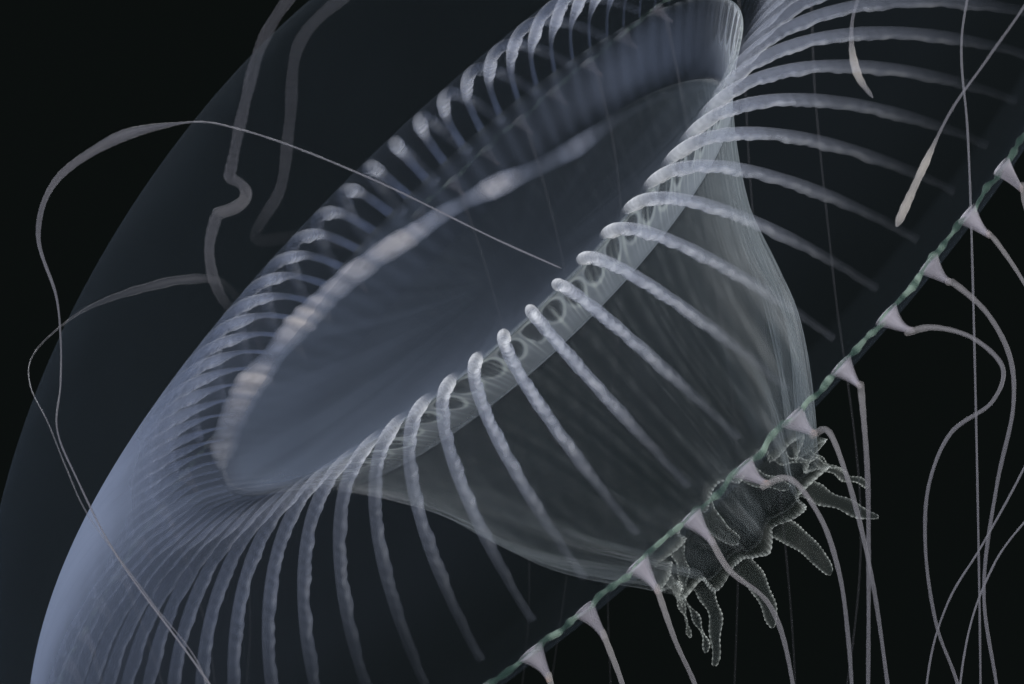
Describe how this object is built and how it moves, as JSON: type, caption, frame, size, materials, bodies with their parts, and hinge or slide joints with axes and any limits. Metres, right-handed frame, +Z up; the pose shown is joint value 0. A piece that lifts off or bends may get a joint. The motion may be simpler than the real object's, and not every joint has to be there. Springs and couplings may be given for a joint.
{
  "type": "many-ribbed jellyfish model on a stand",
  "caption": "Life-size many-ribbed jellyfish with a saucer-shaped clear bell, radial canals, skirt-like mouth and hanging tentacles, held leaning on a plain stand.",
  "frame": {"origin": "centre of the underside of the stand's base", "axes": "+Z up, -Y towards the viewer that sees the bell lean to the left, +X to that viewer's right"},
  "size_m": [0.124, 0.124, 0.184],
  "materials": {
    "jelly": "wet, clear, faintly blue-grey",
    "canals": "wet, milky lavender ribbons",
    "skirt": "wet, thin and translucent with pale frilled edges",
    "margin": "wet, blue-green ring with whitish bulbs",
    "threads": "wet, finely beaded threads",
    "stand_base": "black lacquer, satin",
    "stand_steel": "satin"
  },
  "bodies": {
    "root": {"bell_dome": "jelly", "underside_ribs_1": "canals", "underside_ribs_2": "canals", "underside_ribs_3": "canals", "underside_ribs_4": "canals", "stomach_wall": "skirt", "manubrium": "skirt", "mouth_lips_1": "skirt", "mouth_lips_2": "skirt", "mouth_lips_3": "skirt", "mouth_lips_4": "skirt", "velum": "jelly", "margin_1": "margin", "margin_2": "margin", "margin_3": "margin", "margin_4": "margin", "tentacle_72_1": "threads", "tentacle_72_2": "threads", "tentacle_72_3": "threads", "tentacle_42_1": "threads", "tentacle_42_2": "threads", "tentacle_44_1": "threads", "tentacle_44_2": "threads", "tentacle_46_1": "threads", "tentacle_46_2": "threads", "tentacle_46_3": "threads", "tentacle_77_1": "threads", "tentacle_78_1": "threads", "tentacle_79_1": "threads", "tentacle_00_1": "threads", "tentacle_00_2": "threads", "tentacle_01_1": "threads", "tentacle_01_2": "threads", "tentacle_02_1": "threads", "tentacle_03_1": "threads", "tentacle_04_1": "threads", "tentacle_04_2": "threads", "tentacle_04_3": "threads", "tentacle_05_1": "threads", "tentacle_05_2": "threads", "tentacle_06_1": "threads", "tentacle_06_2": "threads", "tentacle_06_3": "threads", "tentacle_07_1": "threads", "tentacle_08_1": "threads", "tentacle_08_2": "threads", "tentacle_10_1": "threads", "tentacle_10_2": "threads", "tentacle_12_1": "threads", "tentacle_15_1": "threads", "tentacle_22_1": "threads", "tentacle_22_2": "threads", "tentacle_25_1": "threads", "tentacle_25_2": "threads", "tentacle_28_1": "threads", "stand_base": "stand_base", "stand_saddle": "stand_steel", "stand_rod_back": "stand_steel", "stand_rod_front": "stand_steel"}
  },
  "joints": []
}
